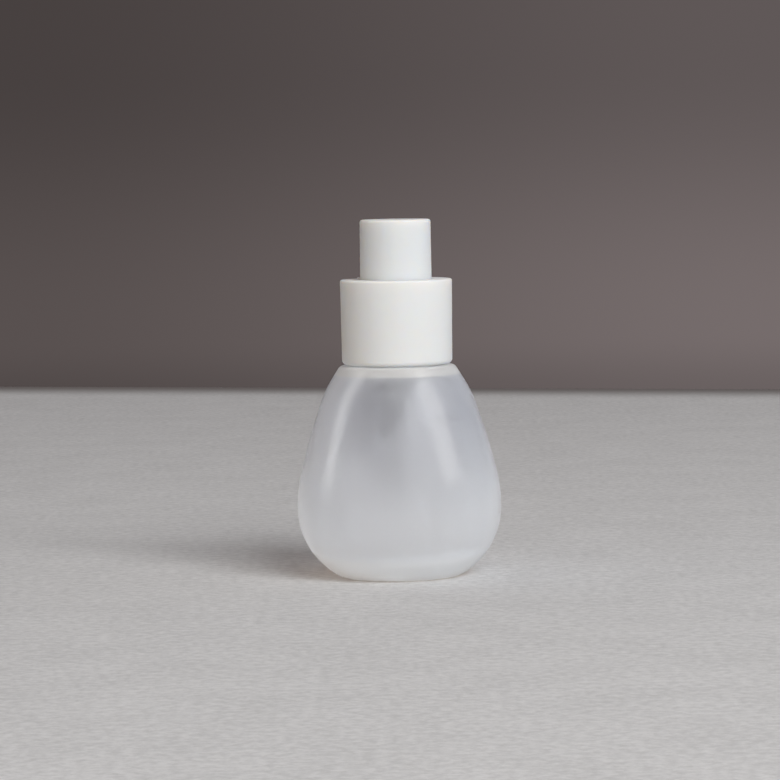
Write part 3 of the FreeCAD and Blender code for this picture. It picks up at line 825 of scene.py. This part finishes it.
class MakeButton(bpy.types.Operator):
    """Models the press button with its stem socket and outlet"""

    bl_idname = "pump_bottle.button"
    bl_label = "Button"

    def execute(self, context):
        part = sizes("closure_sizes")
        ceiling = part.button_top - part.button_roof
        socket_outer = part.socket + part.socket_wall
        shell = turned(rounded([
            (0, part.button_top),
            (0, part.chamber_top),
            (part.chamber, part.chamber_top),
            (part.chamber, part.socket_top),
            (part.socket, part.socket_top),
            (part.socket, part.socket_foot),
            (socket_outer, part.socket_foot),
            (socket_outer, ceiling, part.small_edge),
            (part.button_top_radius - part.button_wall, ceiling, part.small_edge),
            (part.button_foot_radius - part.button_wall, part.button_foot),
            (part.button_foot_radius, part.button_foot, part.small_edge),
            (part.button_top_radius, part.button_top, part.button_edge),
        ]))
        piece = add_piece("press_button", shell)
        root = part.socket + part.socket_wall / 2
        reach = part.button_top_radius - part.button_wall / 2
        rib_foot = ceiling - part.rib_height
        rib_top = part.button_top - part.button_roof / 2
        rib_size = (reach - root, part.rib, rib_top - rib_foot)
        rib_middle = ((root + reach) / 2, 0, (rib_foot + rib_top) / 2)
        for azimuth in (0, math.pi, -math.pi / 2):
            joined(piece, about_axis(block(rib_size, rib_middle, part.rib_edge), azimuth), "UNION")
        height = (NOZZLE_LOW[2] + NOZZLE_HIGH[2]) / 2
        joined(piece, bar(part.outlet + part.outlet_wall, root, reach, height), "UNION")
        joined(piece, bar(part.outlet, 0, reach, height), "DIFFERENCE")
        joined(piece, bar(part.nozzle, NOZZLE_LOW[1], 2 * NOZZLE_HIGH[1], height), "DIFFERENCE")
        piece.data.set_sharp_from_angle(angle=SHARP_JOINED)
        put(piece, bpy.data.materials["satin_white"], "head", "white_closure", "button")
        dress("nozzle_insert", bpy.data.materials["satin_white"])
        return {"FINISHED"}


class MakeSpring(bpy.types.Operator):
    """Models the return spring at rest; the real spring shortens when the button is pressed"""

    bl_idname = "pump_bottle.spring"
    bl_label = "Spring"

    def execute(self, context):
        spring = sizes("spring_sizes")
        detail = sizes("mesh_detail")
        height = spring.top - spring.foot
        steps = round(spring.turns * detail.coil_steps)
        upright = Matrix.Rotation(math.pi / 2, 4, "X")
        start = Matrix.Translation((spring.coil, 0, spring.foot + spring.wire / 2)) @ upright
        shape = bmesh.new()
        bmesh.ops.create_circle(shape, segments=detail.wire_sides, radius=spring.wire / 2,
                                matrix=start)
        bmesh.ops.spin(shape, geom=shape.verts[:] + shape.edges[:], axis=(0, 0, 1),
                       cent=(0, 0, 0), dvec=(0, 0, (height - spring.wire) / steps),
                       angle=2 * math.pi * spring.turns, steps=steps)
        ends = [edge for edge in shape.edges if edge.is_boundary]
        bmesh.ops.holes_fill(shape, edges=ends)
        piece = add_piece("coil_spring", cleaned(shape))
        steel = drawn_steel("spring_steel", dull=0.22)
        put(piece, steel, "pump", "spring_steel", "return_spring")
        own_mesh(piece)
        return {"FINISHED"}


class FinishPump(bpy.types.Operator):
    """Finishes the pump's inner pieces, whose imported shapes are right"""

    bl_idname = "pump_bottle.pump"
    bl_label = "Pump"

    def execute(self, context):
        tints = sizes("finish_colours")
        natural = natural_plastic("natural_plastic", tints.natural, passing=0.85)
        soft = natural_plastic("soft_plastic", tints.soft, passing=0.1)
        tube = natural_plastic("tube_plastic", tints.natural, passing=0.85)
        for node in ("pump_housing", "stem_guide", "stem", "poppet"):
            dress(node, natural)
        for node in ("piston", "neck_gasket"):
            dress(node, soft)
        dress("dip_tube", tube)
        dress("inlet_ball", drawn_steel("ball_steel", dull=0.08))
        return {"FINISHED"}


class SetStage(bpy.types.Operator):
    """Sets up camera, floor, soft lamps and backdrop"""

    bl_idname = "pump_bottle.stage"
    bl_label = "Stage"

    def camera(self, context, stage):
        """Camera in front of the bottle, a little above it."""
        camera = bpy.data.objects.new("camera", bpy.data.cameras.new("camera"))
        camera.data.lens = stage.camera_lens
        camera.data.sensor_width = stage.camera_sensor
        camera.data.clip_start = stage.camera_near
        turn = Matrix.Rotation(stage.camera_yaw, 4, "Z")
        tip = Matrix.Rotation(math.pi / 2 - stage.camera_pitch, 4, "X")
        roll = Matrix.Rotation(stage.camera_roll, 4, "Z")
        place = Matrix.Translation((0, -stage.camera_distance, stage.camera_height))
        camera.matrix_world = place @ turn @ tip @ roll
        context.scene.collection.objects.link(camera)
        context.scene.camera = camera

    def floor(self, stage):
        """Flat floor with its back edge turned a little."""
        shape = bmesh.new()
        bmesh.ops.create_grid(shape, x_segments=1, y_segments=1, size=stage.floor_reach)
        middle = (0, stage.floor_back - stage.floor_reach, 0)
        bmesh.ops.translate(shape, vec=middle, verts=shape.verts)
        pivot = Vector((0, stage.floor_back, 0))
        turn = Matrix.Rotation(stage.floor_turn, 3, "Z")
        bmesh.ops.rotate(shape, cent=pivot, matrix=turn, verts=shape.verts)
        floor = add_piece("floor", shape)
        floor.data.materials.append(pale_floor())

    def lamp(self, context, name, tint, watts, size, azimuth, elevation, distance, roll=0.0):
        """Area lamp that faces the bottle; azimuth goes to the right from the camera's side."""
        lamp = bpy.data.lights.new(name, "AREA")
        lamp.shape = "RECTANGLE"
        lamp.size, lamp.size_y = size
        lamp.color = tint
        lamp.energy = watts
        holder = bpy.data.objects.new(name, lamp)
        across = math.radians(azimuth)
        up = math.radians(elevation)
        aim = Vector((0, 0, (BOTTLE_LOW[2] + BUTTON_HIGH[2]) / 2))
        way = Vector((math.sin(across) * math.cos(up), -math.cos(across) * math.cos(up),
                      math.sin(up)))
        holder.location = aim + way * distance
        turn = way.to_track_quat("Z", "Y") @ Quaternion((0, 0, 1), math.radians(roll))
        holder.rotation_euler = turn.to_euler()
        holder.visible_camera = False
        context.scene.collection.objects.link(holder)
        return holder

    def sky(self, context, tints):
        """Dim backdrop behind the bottle, soft light from all other directions."""
        finish = Finish(bpy.data.worlds.new("studio"), "Generated")
        context.scene.world = finish.owner
        rise = finish.axis("Z")
        upper = rise.between(*BACKDROP_TOP)
        lower = 1 - rise.between(*BACKDROP_FOOT)
        sideways = finish.axis("X").between(*BACKDROP_SPAN)
        across = finish.mix(sideways, tints.backdrop_left, tints.backdrop_right)
        dim = upper * BACKDROP_TOP_DIM + lower * BACKDROP_FOOT_DIM
        dimmed = finish.mix(dim, across, (0.0, 0.0, 0.0))
        backdrop = finish.node("ShaderNodeBackground", None, {"Color": dimmed})
        sides = finish.mix(finish.axis("X").between(-1.0, 1.0), tints.sky_left, tints.sky_right)
        soft = finish.node("ShaderNodeBackground", None, {"Color": sides})
        behind = finish.axis("Y").between(*BACKDROP_DEPTH)
        finish.show(finish.blend(behind, soft, backdrop), "ShaderNodeOutputWorld")

    def execute(self, context):
        stage = sizes("stage_setup")
        tints = sizes("finish_colours")
        context.scene.view_settings.view_transform = "Standard"
        self.camera(context, stage)
        self.floor(stage)
        key = self.lamp(context, "key_lamp", tints.key_light, stage.key_power,
                        size=(1.4, 0.9), azimuth=32, elevation=37, distance=2.2)
        front = self.lamp(context, "front_lamp", tints.front_light, stage.front_power,
                          size=(2.0, 0.55), azimuth=-46, elevation=9, distance=2.0)
        rear = self.lamp(context, "rear_lamp", tints.key_light, stage.rear_power,
                         size=(1.6, 0.8), azimuth=198, elevation=35, distance=2.0)
        for lamp in (key, front, rear):
            lamp.visible_glossy = False
        right = self.lamp(context, "right_window", tints.key_light, stage.right_power,
                          size=(0.44, 0.9), azimuth=60, elevation=34, distance=1.1, roll=14)
        left = self.lamp(context, "left_strip", tints.key_light, stage.left_power,
                         size=(0.32, 0.9), azimuth=-92, elevation=28, distance=1.1)
        for lamp in (right, left):
            lamp.visible_diffuse = False
        self.sky(context, tints)
        return {"FINISHED"}


class BottlePanel(bpy.types.Panel):
    """Lists the steps that make the bottle"""

    bl_idname = "PUMP_BOTTLE_PT_steps"
    bl_label = "Pump bottle"
    bl_space_type = "VIEW_3D"
    bl_region_type = "UI"
    bl_category = "Pump bottle"

    def draw(self, context):
        for step in STEPS:
            self.layout.operator(step.bl_idname)


GROUPS = {
    "bottle_sizes": BottleSizes,
    "thread_sizes": ThreadSizes,
    "closure_sizes": ClosureSizes,
    "spring_sizes": SpringSizes,
    "mesh_detail": MeshDetail,
    "frost_shares": FrostShares,
    "finish_colours": FinishColours,
    "stage_setup": StageSetup,
}
STEPS = (MakeBottle, MakeCollar, MakeButton, MakeSpring, FinishPump, SetStage)
CLASSES = (*GROUPS.values(), *STEPS, BottlePanel)


def register():
    for item in CLASSES:
        bpy.utils.register_class(item)
    for name, group in GROUPS.items():
        setattr(bpy.types.Scene, name, PointerProperty(type=group))


def unregister():
    for name in GROUPS:
        delattr(bpy.types.Scene, name)
    for item in reversed(CLASSES):
        bpy.utils.unregister_class(item)


def main():
    register()
    bpy.ops.pump_bottle.bottle()
    bpy.ops.pump_bottle.collar()
    bpy.ops.pump_bottle.button()
    bpy.ops.pump_bottle.spring()
    bpy.ops.pump_bottle.pump()
    bpy.ops.pump_bottle.stage()


if __name__ == "__main__":
    main()
